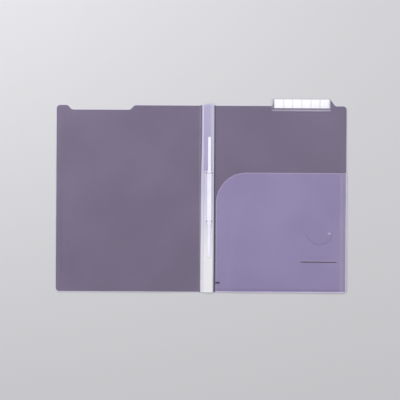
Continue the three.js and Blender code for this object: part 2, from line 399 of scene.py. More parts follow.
# Painted shade: dark film where shadow falls, beside the strip and under the pocket's notch and
# slit.
PAINTED_SHADE = Finish("pressed_line", (0.045, 0.035, 0.07), (0.07, 0.055, 0.11), 0.5, (0.4, 0.5))
POCKET = StreakedFilm(
    "rolled_pocket_film", (0.385, 0.322, 0.567), (0.425, 0.358, 0.613), 0.4, (0.285, 0.305),
    zone=0.043, strength=1.0, streak_share=0.03,
)
POCKET_FOLD = Finish("pocket_side_fold", (0.43, 0.39, 0.55), (0.50, 0.45, 0.61), 0.42, (0.3, 0.4))
# Painted highlight: the light rim along the pocket's edges and the slit's upper lip.
POCKET_EDGE_HIGHLIGHT = Finish("pocket_edge", (0.54, 0.47, 0.64), (0.63, 0.56, 0.71), 0.5, (0.3, 0.4))
WELD = Finish(
    "welded_edge", (0.64, 0.57, 0.74), (0.74, 0.67, 0.82), 0.62, (0.35, 0.5),
    grain_size=0.0008, grain_depth=0.00006, grain=Grain.ACROSS_THE_WELD,
)
# Painted glint: the curl at the thumb cut's end is painted bright.
CURL_GLINT = Finish("curled_film", (0.66, 0.60, 0.76), (0.76, 0.70, 0.85), 0.42, (0.2, 0.3))
# Milky strip film, with painted glare towards its foot.
MILKY_WITH_GLARE = StripFilm(
    "milky_strip", (0.46, 0.43, 0.64), (0.54, 0.50, 0.72), 0.6, (0.3, 0.4),
    grain=Grain.UP_THE_COVERS, grain_depth=0.00003,
)
# Welds on the strip, and a painted highlight on the step over the plate's ends.
STRIP_WELD_AND_HIGHLIGHT = Finish("strip_weld", (0.70, 0.67, 0.83), (0.80, 0.77, 0.91), 0.75, (0.3, 0.4))
MOULDED = Finish(
    "white_moulding", (0.74, 0.73, 0.86), (0.81, 0.80, 0.92), gloss=(0.22, 0.34), drift=0.02
)
# Painted shadow: dark where the plate shows through the strip's slots.
SLOT_SHADOW = Finish(
    "shaded_recess", (0.05, 0.045, 0.08), (0.08, 0.07, 0.11), gloss=(0.5, 0.6), drift=0.01
)
SLEEVE = Finish("clear_sleeve_film", (0.60, 0.58, 0.70), (0.70, 0.68, 0.79), 0.09, (0.12, 0.2))
# Painted highlight: the band along the sleeve's cut edge.
SLEEVE_EDGE_HIGHLIGHT = Finish("sleeve_edge", (0.56, 0.53, 0.65), (0.68, 0.65, 0.76), 0.45, (0.2, 0.3))
# Painted shadow: the dark line on the sleeve's ramp above its weld.
SLEEVE_RAMP_SHADOW = Finish("sleeve_fold", (0.15, 0.13, 0.20), (0.20, 0.17, 0.26), 0.3, (0.2, 0.3))
SLEEVE_WELD = Finish("sleeve_weld", (0.40, 0.37, 0.49), (0.54, 0.50, 0.63), 0.5, (0.3, 0.4))


@dataclass(frozen=True)
class Lamp:
    """One soft square light that faces the holder."""

    name: str
    place: Colour
    size: float
    power: float

    def build(self) -> None:
        """Adds the light."""
        facing = (-Vector(self.place)).to_track_quat("-Z", "Y").to_euler()
        bpy.ops.object.light_add(type="AREA", location=self.place, rotation=facing)
        lamp = bpy.context.active_object
        lamp.name = self.name
        lamp.data.size = self.size
        lamp.data.energy = self.power


@dataclass
class Studio:
    """The pale floor, the soft lights and the camera that looks straight down."""

    floor_size: float = 8.0
    floor_drop: float = 0.0004
    floor_colour: Colour = (0.535, 0.535, 0.55)
    floor_gloss: Range = (0.7, 0.8)
    floor_drift: float = 0.6
    key: Lamp = Lamp("key_light", (-0.75, 0.95, 1.0), 1.1, 20.0)
    fill: Lamp = Lamp("fill_light", (1.1, 0.1, 1.4), 1.2, 7.0)
    sky: Colour = (0.95, 0.95, 0.97)
    sky_strength: float = 0.6
    sight_centre: Range = (-0.0020, -0.0078)
    frame_width: float = 0.663
    lens: float = 0.085
    sensor: float = 0.036
    roll: float = math.radians(0.33)

    def build(self) -> None:
        """Makes the floor, the lights and the camera."""
        bpy.ops.object.select_all(action="DESELECT")
        bpy.ops.mesh.primitive_plane_add(size=self.floor_size, location=(0, 0, -self.floor_drop))
        floor = bpy.context.active_object
        floor.name = "floor"
        colour = self.floor_colour
        surface = Finish("floor", colour, colour, gloss=self.floor_gloss, drift=self.floor_drift)
        floor.data.materials.append(surface.material())
        self.key.build()
        self.fill.build()
        world = bpy.data.worlds.new("studio")
        world.use_nodes = True
        background = world.node_tree.nodes["Background"]
        background.inputs["Color"].default_value = (*self.sky, 1.0)
        background.inputs["Strength"].default_value = self.sky_strength
        bpy.context.scene.world = world
        bpy.context.scene.view_settings.view_transform = "Standard"
        distance = self.frame_width * self.lens / self.sensor
        place = (*self.sight_centre, distance)
        bpy.ops.object.camera_add(location=place, rotation=(0, 0, self.roll))
        camera = bpy.context.active_object
        camera.data.lens = self.lens * MM_PER_M
        camera.data.sensor_width = self.sensor * MM_PER_M
        bpy.context.scene.camera = camera


class Blank:
    """A flat rectangle that is cut, folded and thickened into a piece, in edit mode."""

    def __init__(self, name: str, low: Range, high: Range, height: float) -> None:
        """Lays the rectangle down.

        Args:
            name: the piece's name.
            low: its lowest x and y.
            high: its highest x and y.
            height: the z that it lies at.
        """
        (x0, y0), (x1, y1) = low, high
        bpy.ops.object.select_all(action="DESELECT")
        middle = ((x0 + x1) / 2, (y0 + y1) / 2, height)
        bpy.ops.mesh.primitive_plane_add(size=1, location=middle)
        self.corners = [(x, y) for x in (x0, x1) for y in (y0, y1)]
        self.thing = bpy.context.active_object
        self.thing.name = self.thing.data.name = name
        self.thing.scale = (x1 - x0, y1 - y0, 1)
        bpy.ops.object.transform_apply(location=True, rotation=False, scale=True)
        self.enter_edit()

    def enter_edit(self) -> None:
        """Opens the piece in edit mode."""
        bpy.context.view_layer.objects.active = self.thing
        bpy.ops.object.mode_set(mode="EDIT")

    def leave_edit(self) -> None:
        """Closes edit mode, if it is open."""
        if bpy.context.mode != "OBJECT":
            bpy.ops.object.mode_set(mode="OBJECT")

    def pick(self, choice: Choice, test: Test) -> None:
        """Selects what passes a test of its middle.

        Args:
            choice: what is selected.
            test: the test of its middle.
        """
        bpy.ops.mesh.select_mode(type=choice.value)
        bpy.ops.mesh.select_all(action="DESELECT")
        mesh = bmesh.from_edit_mesh(self.thing.data)
        kinds = {Choice.VERTICES: mesh.verts, Choice.EDGES: mesh.edges, Choice.FACES: mesh.faces}
        for item in kinds[choice]:
            corners = [item] if choice is Choice.VERTICES else item.verts
            middle = sum((corner.co for corner in corners), Vector()) / len(corners)
            if test(middle):
                item.select_set(True)
        mesh.select_flush_mode()
        bmesh.update_edit_mesh(self.thing.data)

    def pick_edge(self, place: Iterable[float]) -> None:
        """Selects the edge whose middle is at a place."""
        spot = Vector(place)
        self.pick(Choice.EDGES, lambda m: (m - spot).length < NEAR)

    def cut(self, point: Iterable[float], normal: Iterable[float], clear: bool = False) -> None:
        """Cuts everything along a plane.

        Args:
            point: a point on the plane.
            normal: the plane's normal.
            clear: whether what lies on the normal's side goes.
        """
        bpy.ops.mesh.select_all(action="SELECT")
        bpy.ops.mesh.bisect(
            plane_co=point, plane_no=normal, clear_outer=clear, threshold=CUT_THRESHOLD
        )

    def score(self, xs: Iterable[float] = (), ys: Iterable[float] = ()) -> None:
        """Cuts along straight lines and keeps both sides.

        Args:
            xs: the x of each line up the covers.
            ys: the y of each line across the covers.
        """
        for x in xs:
            self.cut((x, 0, 0), (1, 0, 0))
        for y in ys:
            self.cut((0, y, 0), (0, 1, 0))

    def mark_out(self, *openings: Opening) -> Test:
        """Cuts along the sides of openings of one width.

        Args:
            openings: the x and y ranges of each.

        Returns:
            The test of whether a place lies in one of them.
        """
        self.score(openings[0][0], [y for _, ys in openings for y in ys])
        return lambda place: any(inside(opening, place) for opening in openings)

    def move(self, offset: Iterable[float], test: Test) -> None:
        """Moves the vertices that pass a test.

        Args:
            offset: how far they move.
            test: the test of each vertex.
        """
        self.pick(Choice.VERTICES, test)
        bpy.ops.transform.translate(value=tuple(offset))

    def extend(self, offset: Iterable[float]) -> None:
        """Extrudes the selected edges."""
        bpy.ops.mesh.extrude_region_move(TRANSFORM_OT_translate={"value": tuple(offset)})

    def drop(self, test: Test) -> None:
        """Deletes the faces whose middle passes a test."""
        self.pick(Choice.FACES, test)
        bpy.ops.mesh.delete(type="FACE")

    def merge_flat(self) -> None:
        """Joins faces that lie in one plane into one face."""
        bpy.ops.mesh.select_all(action="SELECT")
        bpy.ops.mesh.dissolve_limited(angle_limit=FLAT_ANGLE)

    def round_off(
        self, corners: Iterable[Range], radius: float, segments: int = ARC_SEGMENTS
    ) -> None:
        """Rounds the outline at corners.

        Args:
            corners: the x and y of each corner.
            radius: how far from the corner the rounding starts.
            segments: the number of steps in each arc.
        """
        places = list(corners)
        self.pick(Choice.VERTICES, lambda v: any(at(v, x, y) for x, y in places))
        bpy.ops.mesh.bevel(
            offset_type="OFFSET", offset=radius, segments=segments, profile=0.5, affect="VERTICES"
        )

    def edge_band(self, width: float) -> None:
        """Gives the outline a narrow band in the edge's finish: a painted highlight along the cut
        edge.

        Args:
            width: the band's width.
        """
        bpy.ops.mesh.select_mode(type="FACE")
        bpy.ops.mesh.select_all(action="SELECT")
        bpy.ops.mesh.inset(thickness=width, depth=0, use_boundary=True, use_even_offset=True)
        mesh = bmesh.from_edit_mesh(self.thing.data)
        for face in mesh.faces:
            face.material_index = Patch.BODY if face.select else Patch.EDGE
        bmesh.update_edit_mesh(self.thing.data)

    def paint(self, patch: Patch, test: Test) -> None:
        """Gives the faces whose middle passes a test another finish.

        Args:
            patch: which of the piece's finishes.
            test: the test of each face's middle.
        """
        self.pick(Choice.FACES, test)
        mesh = bmesh.from_edit_mesh(self.thing.data)
        for face in mesh.faces:
            if face.select:
                face.material_index = patch
        bmesh.update_edit_mesh(self.thing.data)

    def press(self, test: Test, depth: float) -> None:
        """Lowers the vertices of the finished thickness that pass a test.

        Args:
            test: the test of each vertex.
            depth: how far they go down.
        """
        self.enter_edit()
        self.move((0, 0, -depth), test)
        self.leave_edit()

    def lift_waves(self, weight: Weight, height: float, size: float) -> None:
        """Lifts the sheet in slow waves, as film lies on a table.

        Args:
            weight: how freely the sheet lifts at each place, from 0 to 1.
            height: the waves' height.
            size: the waves' size.
        """
        self.leave_edit()
        group = self.thing.vertex_groups.new(name="free")
        for vertex in self.thing.data.vertices:
            group.add([vertex.index], weight(vertex.co), "REPLACE")
        texture = bpy.data.textures.new(f"{self.thing.name}_waves", type="CLOUDS")
        texture.noise_scale = size
        texture.noise_depth = 0
        self.modify(
            "DISPLACE", texture=texture, strength=height, mid_level=0.0, direction="Z",
            texture_coords="LOCAL", vertex_group=group.name,
        )
        self.thing.vertex_groups.clear()

    def modify(self, kind: str, **settings: object) -> None:
        """Adds a modifier, sets it and applies it.

        Args:
            kind: the modifier's type.
            settings: the modifier's settings.
        """
        self.leave_edit()
        bpy.context.view_layer.objects.active = self.thing
        bpy.ops.object.modifier_add(type=kind)
        modifier = self.thing.modifiers[-1]
        for key, value in settings.items():
            setattr(modifier, key, value)
        bpy.ops.object.modifier_apply(modifier=modifier.name)

    def soften(self, width: float) -> None:
        """Bevels the sharp edges of the finished thickness."""
        limits = {"limit_method": "ANGLE", "angle_limit": EDGE_ANGLE}
        self.modify("BEVEL", width=width, segments=EDGE_SEGMENTS, **limits)

    def thicken(self, thickness: float, side: float = 1.0, edge: float = 0.0) -> None:
        """Gives the sheet its thickness and softens its edges.

        Args:
            thickness: the sheet's thickness.
            side: 1 to thicken upwards, 0 for both ways.
            edge: the width of the softened edges, if any.
        """
        self.modify("SOLIDIFY", thickness=thickness, offset=side, use_even_offset=True)
        if edge:
            self.soften(edge)

    def done(self, finishes: Iterable[Finish], slot: str, *nodes: str) -> Thing:
        """Closes the mesh, dresses the piece and hides the frame's nodes that it replaces.

        Args:
            finishes: the piece's finishes, in the order of Patch.
            slot: the record's material slot; not used.
            nodes: the frame's nodes that the piece replaces.

        Returns:
            The finished object.
        """
        self.enter_edit()
        bpy.ops.mesh.select_all(action="SELECT")
        bpy.ops.mesh.remove_doubles(threshold=MERGE)
        self.leave_edit()
        for finish in finishes:
            name = finish.name
            self.thing.data.materials.append(bpy.data.materials.get(name) or finish.material())
        bpy.ops.object.shade_smooth_by_angle(angle=SMOOTH_ANGLE)
        if nodes:
            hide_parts(*nodes)
        log.info("%s: %d faces", self.thing.name, len(self.thing.data.polygons))
        return self.thing


def multiples(low: float, high: float, pitch: float) -> list[float]:
    """Lists the places of a regular grid.

    Args:
        low: the lower end, which is left out.
        high: the upper end, which is left out.
        pitch: the grid's step.

    Returns:
        Every multiple of the step between them.
    """
    first = math.ceil((low + NEAR) / pitch)
    last = math.floor((high - NEAR) / pitch)
    return [n * pitch for n in range(first, last + 1)]


def ease(value: float, low: float, high: float) -> float:
    """Returns 0 below low, 1 above high and a smooth step between them."""
    t = min(max((value - low) / (high - low), 0.0), 1.0)
    return t * t * (3 - 2 * t)


def at(place: Vector, x: float, y: float) -> bool:
    """Returns whether a place lies at an x and a y."""
    return abs(place.x - x) < NEAR and abs(place.y - y) < NEAR


def inside(opening: Opening, place: Vector) -> bool:
    """Returns whether a place lies in an opening."""
    (x0, x1), (y0, y1) = opening
    return x0 < place.x < x1 and y0 < place.y < y1


def crease_x(joint_name: str) -> float:
    """Returns the x of a crease from the frame's joint."""
    return next(j["pos_m"][0] for j in frame["joints"] if j["name"] == joint_name)


@dataclass(frozen=True)
class Waves:
    """The slow waves that the covers share with the pocket on them."""

    height: float = 0.0011
    size: float = 0.16
    stiff_half_width: float = 0.024
    free_half_width: float = 0.075
    tab_zone: float = 0.03
    tab_fade: float = 0.06

    def front(self, place: Vector) -> float:
        """Returns how freely the front cover lifts at a place."""
        return ease(-place.x, self.stiff_half_width, self.free_half_width)

    def back(self, place: Vector) -> float:
        """Weighs how freely the back cover lifts: the strip and the label hold it.

        Args:
            place: a place on the cover.

        Returns:
            The share of the waves' height there.
        """
        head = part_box("front_cover")[1].y
        past_strip = ease(place.x, self.stiff_half_width, self.free_half_width)
        return past_strip * ease(head - self.tab_zone - place.y, 0.0, self.tab_fade)

    def lift(self, blank: Blank, weight: Weight) -> None:
        """Lifts a sheet in the waves."""
        blank.lift_waves(weight, self.height, self.size)


@dataclass
class FoldedSheet:
    """The clear sheet: the front cover, the spine and the back cover, with two scored creases."""

    crease_width: float = 0.0012
    crease_steps: int = 8
    edge_band: float = 0.0008
    cutout_depth: float = 0.0075
    cutout_width: float = 0.1103
    cutout_slant: float = 0.007
    cutout_rounding: float = 0.0022
    tab_inset: float = 0.019
    tab_outer_slant: float = 0.0085
    tab_inner_slant: float = 0.0025
    tab_rounding: float = 0.0016
    tab_start_past_sleeve: float = 0.0005
    groove: Range = (0.0002, 0.0024)
    groove_slope: float = 0.0004
    groove_depth: float = 0.00012
    shade_margin: float = 0.0009
    shaded: list[Opening] = field(default_factory=list)
    waves: Waves = Waves()

    def build(self) -> None:
        """Makes the three panels and the two creases."""
        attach(self.front_cover(), FRONT)
        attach(self.back_cover(), BACK)
        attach(self.spine(), SPINE)
        self.crease("spine_crease", crease_x("spine_fold"), BACK, SPINE)
        self.crease("cover_crease", crease_x("cover_fold"), SPINE, FRONT)

    def panel_end(self, joint_name: str, side: int) -> float:
        """Returns the x where a panel ends beside a crease."""
        return crease_x(joint_name) + side * self.crease_width / 2

    def finish_panel(self, blank: Blank, thickness: float, weight: Weight) -> None:
        """Scores a panel into a grid, lifts its waves and thickens it.

        Args:
            blank: the panel.
            thickness: the sheet's thickness.
            weight: how freely the panel lifts at each place.
        """
        places = [v.co.copy() for v in bmesh.from_edit_mesh(blank.thing.data).verts]
        xs = [place.x for place in places]
        ys = [place.y for place in places]
        blank.score(multiples(min(xs), max(xs), GRID), multiples(min(ys), max(ys), GRID))
        self.waves.lift(blank, weight)
        blank.thicken(thickness)

    def front_cover(self) -> Thing:
        """Makes the front cover with the cut-out in its top edge.

        Returns:
            The front cover.
        """
        low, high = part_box("front_cover")
        end = self.panel_end("cover_fold", -1)
        floor = high.y - self.cutout_depth
        outer = low.x + self.tab_inset
        inner = outer + self.cutout_width
        past_end = end + self.edge_band * 2
        blank = Blank("front_cover_sheet", (low.x, low.y), (past_end, floor), low.z)
        blank.score(xs=(outer, inner))
        blank.pick(Choice.EDGES, lambda m: abs(m.y - floor) < NEAR and not outer < m.x < inner)
        blank.extend((0, self.cutout_depth, 0))
        slant = self.cutout_slant
        for x, way in ((outer, 1), (inner, -1)):
            blank.move((way * slant, 0, 0), lambda v: at(v, x, floor))
        blank.merge_flat()
        blank.round_off(((low.x, low.y), (low.x, high.y)), COVER_RADIUS)
        cutout = ((outer, high.y), (outer + slant, floor), (inner - slant, floor), (inner, high.y))
        blank.round_off(cutout, self.cutout_rounding, SMALL_ARC_SEGMENTS)
        # Painted highlight along the cover's cut edge.
        blank.edge_band(self.edge_band)
        blank.cut((end, 0, 0), (1, 0, 0), clear=True)
        self.finish_panel(blank, high.z - low.z, self.waves.front)
        return blank.done((CLEAR, CUT_EDGE_HIGHLIGHT), "clear_film", "front_cover")

    def back_cover(self) -> Thing:
        """Makes the back cover with the index tab on its top edge.

        Returns:
            The back cover.
        """
        low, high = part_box("back_cover")
        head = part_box("front_cover")[1].y
        start = self.panel_end("spine_fold", 1)
        past_start = start - self.edge_band * 2
        outer = high.x - self.tab_inset
        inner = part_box("index_sleeve")[0].x + self.tab_start_past_sleeve
        blank = Blank("back_cover_sheet", (past_start, low.y), (high.x, head), low.z)
        blank.score(xs=(inner, outer))
        blank.pick(Choice.EDGES, lambda m: abs(m.y - head) < NEAR and inner < m.x < outer)
        blank.extend((0, high.y - head, 0))
        for x, way in ((outer, -self.tab_outer_slant), (inner, self.tab_inner_slant)):
            blank.move((way, 0, 0), lambda v: at(v, x, high.y))
        blank.merge_flat()
        blank.round_off(((high.x, low.y), (high.x, head)), COVER_RADIUS)
        tab = (
            (outer, head),
            (outer - self.tab_outer_slant, high.y),
            (inner + self.tab_inner_slant, high.y),
            (inner, head),
        )
        blank.round_off(tab, self.tab_rounding, SMALL_ARC_SEGMENTS)
        # Painted highlight along the cover's cut edge.
        blank.edge_band(self.edge_band)
        blank.cut((start, 0, 0), (-1, 0, 0), clear=True)
        strip_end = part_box("binding_strip")[1].x
        groove = [strip_end + offset for offset in self.groove]
        bed = (groove[0] + self.groove_slope, groove[1] - self.groove_slope)
        blank.score(xs=(*groove, *bed))
        # The groove beside the strip is pressed in and painted dark: the dark is the strip's
        # painted shadow.
        blank.paint(Patch.MARK, lambda m: groove[0] < m.x < groove[1])
        # Painted shadow on the cover under the pocket's notch and slit.
        for xs, ys in self.shaded:
            shade = (xs, (ys[0] - self.shade_margin, ys[1] + self.shade_margin))
            blank.paint(Patch.MARK, blank.mark_out(shade))
        self.finish_panel(blank, high.z - low.z, self.waves.back)
        half_up = (low.z + high.z) / 2
        blank.press(
            lambda v: bed[0] - NEAR < v.x < bed[1] + NEAR and v.z > half_up, self.groove_depth
        )
        return blank.done((CLEAR, CUT_EDGE_HIGHLIGHT, PAINTED_SHADE), "clear_film", "back_cover")

    def spine(self) -> Thing:
        """Makes the narrow panel between the creases.

        Returns:
            The spine panel.
        """
        low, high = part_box("spine_panel")
        start = self.panel_end("cover_fold", 1)
        end = self.panel_end("spine_fold", -1)
        blank = Blank("spine_sheet", (start, low.y), (end, high.y), low.z)
        blank.score(ys=multiples(low.y, high.y, GRID))
        blank.thicken(high.z - low.z)
        return blank.done((CLEAR,), "clear_film", "spine_panel")

    def crease(self, name: str, middle: float, first: str, second: str) -> None:
        """Makes one scored crease between two panels.

        Args:
            name: the crease's name.
            middle: the crease's x.
            first: the body on its +X side; not used.
            second: the body on its -X side; not used.
        """
        low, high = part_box("spine_panel")
        half = self.crease_width / 2
        blank = Blank(name, (middle - half, low.y), (middle + half, high.y), low.z)
        step = self.crease_width / self.crease_steps
        folds = [middle - half + n * step for n in range(1, self.crease_steps)]
        blank.score(folds, multiples(low.y, high.y, GRID))
        blank.thicken(high.z - low.z)
        bed = half / 2 + NEAR
        half_up = (low.z + high.z) / 2
        blank.press(lambda v: abs(v.x - middle) < bed and v.z > half_up, self.groove_depth)
        thing = blank.done((CREASE,), "clear_film")
        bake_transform(thing)


@dataclass
class CornerPocket:
    """The film that is welded to the back cover along its foot and its free edge."""

    corner_radius: float = 0.05
    corner_segments: int = 20
    room: float = 0.001
    film: float = 0.0002
    seat: float = 0.00004
    weld: float = 0.003
    weld_line: float = 0.0016
    weld_bead: float = 0.00012
    side_fold: float = 0.0104
    foot_fold: float = 0.006
    fold_line: float = 0.0036
    fold_ridge: float = 0.00025
    edge_band: float = 0.0008
    notch_depth: float = 0.007
    notch_width: float = 0.003
    notch_height: float = 0.016
    notch_rounding: float = 0.001
    slit_length: float = 0.059
    slit_width: float = 0.0018
    slit_height: float = 0.0512
    slit_inset: float = 0.017
    rim: float = 0.0006
    lip_opening: float = 0.0003
    thumb_radius: float = 0.021
    thumb_gap: float = 0.0005
    thumb_inset: float = 0.045
    thumb_height: float = 0.1006
    thumb_segments: int = 32
    cutter_height: float = 0.004
    curl_offset: Range = (0.0164, -0.0022)
    curl_size: Range = (0.0060, 0.0026)
    curl_rise: float = 0.0006
    curl_lines: tuple[Range, ...] = ((0.25, 0.5), (0.5, 1.0), (0.75, 0.7))
    waves: Waves = Waves()

    def build(self) -> None:
        """Makes the pocket."""
        low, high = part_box("pocket_sheet")
        blank = Blank("pocket", (low.x, low.y), (high.x, high.y), low.z + self.seat)
        notch, slit = self.openings()
        notch_end, (notch_low, notch_high) = notch[0][1], notch[1]
        blank.drop(blank.mark_out(notch))
        blank.merge_flat()
        blank.round_off(((low.x, high.y),), self.corner_radius, self.corner_segments)
        blank.round_off(((high.x, low.y),), COVER_RADIUS)
        notch_corners = ((notch_end, notch_low), (notch_end, notch_high))
        blank.round_off(notch_corners, self.notch_rounding, SMALL_ARC_SEGMENTS)
        band = self.edge_band
        # Painted highlight along the pocket's cut edge.
        blank.edge_band(band)
        near_notch = ((low.x, notch_end + band), (notch_low - band, notch_high + band))
        blank.paint(Patch.BODY, lambda m: inside(near_notch, m))
        self.cut_slit(blank, slit)
        self.fold(blank, high.x, low.y)
        blank.score(multiples(low.x, high.x, GRID), multiples(low.y, high.y, GRID))
        self.waves.lift(blank, self.waves.back)
        blank.thicken(self.film)
        centre = Vector((high.x - self.thumb_inset, low.y + self.thumb_height, 0))
        cutter = self.half_ring(centre)
        blank.modify("BOOLEAN", object=cutter, operation="DIFFERENCE", solver="EXACT")
        bpy.data.objects.remove(cutter)
        finishes = (POCKET, POCKET_EDGE_HIGHLIGHT, WELD, POCKET_FOLD)
        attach(blank.done(finishes, "pocket_film", "pocket_sheet"), BACK)
        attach(self.curled_corner(centre, low.z + self.seat + self.room + self.film), BACK)

    def openings(self) -> list[Opening]:
        """Places the notch and the slit.

        Returns:
            The x and y ranges of the notch, then of the slit.
        """
        low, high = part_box("pocket_sheet")
        notch_low = low.y + self.notch_height - self.notch_width / 2
        slit_end = high.x - self.slit_inset
        slit_low = low.y + self.slit_height - self.slit_width / 2
        return [
            ((low.x, low.x + self.notch_depth), (notch_low, notch_low + self.notch_width)),
            ((slit_end - self.slit_length, slit_end), (slit_low, slit_low + self.slit_width)),
        ]

    def cut_slit(self, blank: Blank, slit: Opening) -> None:
        """Cuts the straight slit, opens its upper lip a little and paints a highlight along that
        lip.

        Args:
            blank: the pocket.
            slit: the slit's x and y ranges.
        """
        (start, end), (low, high) = slit
        middle = (start + end) / 2
        blank.score((start, middle, end), (low, high, high + self.rim))
        blank.drop(lambda m: inside(slit, m))
        # Painted highlight along the slit's upper lip.
        blank.paint(Patch.EDGE, lambda m: inside((slit[0], (high, high + self.rim)), m))
        blank.move((0, 0, self.lip_opening), lambda v: at(v, middle, high))

    def fold(self, blank: Blank, edge: float, foot: float) -> None:
        """Raises the pocket between its folds and marks its welds and its side fold.

        Args:
            blank: the pocket.
            edge: the x of the free edge.
            foot: the y of the foot.
        """
        side = edge - self.side_fold
        rise = foot + self.foot_fold
        line = side + self.fold_line
        ridge = (side + line) / 2
        bead = self.weld_line / 2
        blank.score(
            (edge - bead, edge - self.weld_line, edge - self.weld, side, ridge, line),
            (foot + bead, foot + self.weld_line, foot + self.weld, rise),
        )
        lifts = (
            (lambda v: v.x < side + NEAR, self.room),
            (lambda v: abs(v.x - ridge) < NEAR, self.room + self.fold_ridge),
            (lambda v: abs(v.x - line) < NEAR, self.room / 2),
        )
        for test, height in lifts:
            blank.move((0, 0, height), lambda v: test(v) and v.y > rise - NEAR)
        blank.move(
            (0, 0, self.weld_bead),
            lambda v: abs(v.x - (edge - bead)) < NEAR and v.y > foot + bead - NEAR
            or abs(v.y - (foot + bead)) < NEAR and v.x < edge - bead + NEAR,
        )
        welded = (edge - self.weld_line, foot + self.weld_line)
        blank.paint(Patch.MARK, lambda m: m.x > welded[0] or m.y < welded[1])
        blank.paint(Patch.FOLD, lambda m: side < m.x < line and m.y > welded[1])

    def curled_corner(self, centre: Vector, height: float) -> Thing:
        """Makes the small curl at the end of the thumb cut; its brightness is a painted glint.

        Args:
            centre: the middle of the half-moon's straight side.
            height: the z of the pocket's top.

        Returns:
            The curl.
        """
        (x, y), (width, depth) = self.curl_offset, self.curl_size
        low = (centre.x + x - width / 2, centre.y + y - depth / 2)
        high = (low[0] + width, low[1] + depth)
        curl = Blank("thumb_cut_curl", low, high, height - SLIVER)
        curl.round_off(curl.corners, depth / 2 - SLIVER, SMALL_ARC_SEGMENTS)
        raised = (low[0] + depth / 4, high[0] - depth / 4)
        for share, rise in self.curl_lines:
            line = low[1] + depth * share
            curl.score(ys=(line,))
            curl.move(
                (0, 0, self.curl_rise * rise),
                lambda v: abs(v.y - line) < NEAR and raised[0] < v.x < raised[1],
            )
            curl.score(xs=((low[0] + high[0]) / 2,))
        self.waves.lift(curl, self.waves.back)
        curl.thicken(self.film)
        return curl.done((CURL_GLINT,), "pocket_film")

    def half_ring(self, centre: Vector) -> Thing:
        """Makes the half-moon cutter: a small square spun half round.

        Args:
            centre: the middle of the half-moon's straight side.

        Returns:
            The cutter.
        """
        middle = centre + Vector((-self.thumb_radius + self.thumb_gap / 2, 0, self.room))
        bpy.ops.object.select_all(action="DESELECT")
        bpy.ops.mesh.primitive_plane_add(size=1, location=middle, rotation=(math.pi / 2, 0, 0))
        ring = bpy.context.active_object
        ring.scale = (self.thumb_gap, self.cutter_height, 1)
        bpy.ops.object.transform_apply(location=True, rotation=True, scale=True)
        bpy.ops.object.mode_set(mode="EDIT")
        bpy.ops.mesh.select_all(action="SELECT")
        bpy.ops.mesh.spin(steps=self.thumb_segments, angle=math.pi, center=centre, axis=(0, 0, -1))
        bpy.ops.mesh.select_all(action="SELECT")
        bpy.ops.mesh.remove_doubles(threshold=MERGE)
        bpy.ops.mesh.normals_make_consistent(inside=False)
        bpy.ops.object.mode_set(mode="OBJECT")
        return ring


@dataclass(frozen=True)
class PunchHoles:
    """The two places where the prongs pass through the strip and the bar."""

    offset: float = 0.00125
    pitch: float = 0.08
    slot_length: float = 0.010
    slot_width: float = 0.0024

    def middle(self) -> Vector:
        """Returns the place midway between the prongs."""
        low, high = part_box("fastener_base")
        return Vector(((low.x + high.x) / 2 + self.offset, (low.y + high.y) / 2, 0))

    def openings(self, length: float, width: float) -> list[Opening]:
        """Places an opening of one size at each prong.

        Args:
            length: the openings' size in x.
            width: their size in y.

        Returns:
            The x and y ranges of the lower opening, then of the upper one.
        """
        middle = self.middle()
        xs = (middle.x - length / 2, middle.x + length / 2)
        rows = [middle.y + side * self.pitch / 2 for side in (-1, 1)]
        return [(xs, (y - width / 2, y + width / 2)) for y in rows]

    def slots(self) -> list[Opening]:
        """Returns the x and y ranges of the strip's slots."""
        return self.openings(self.slot_length, self.slot_width)


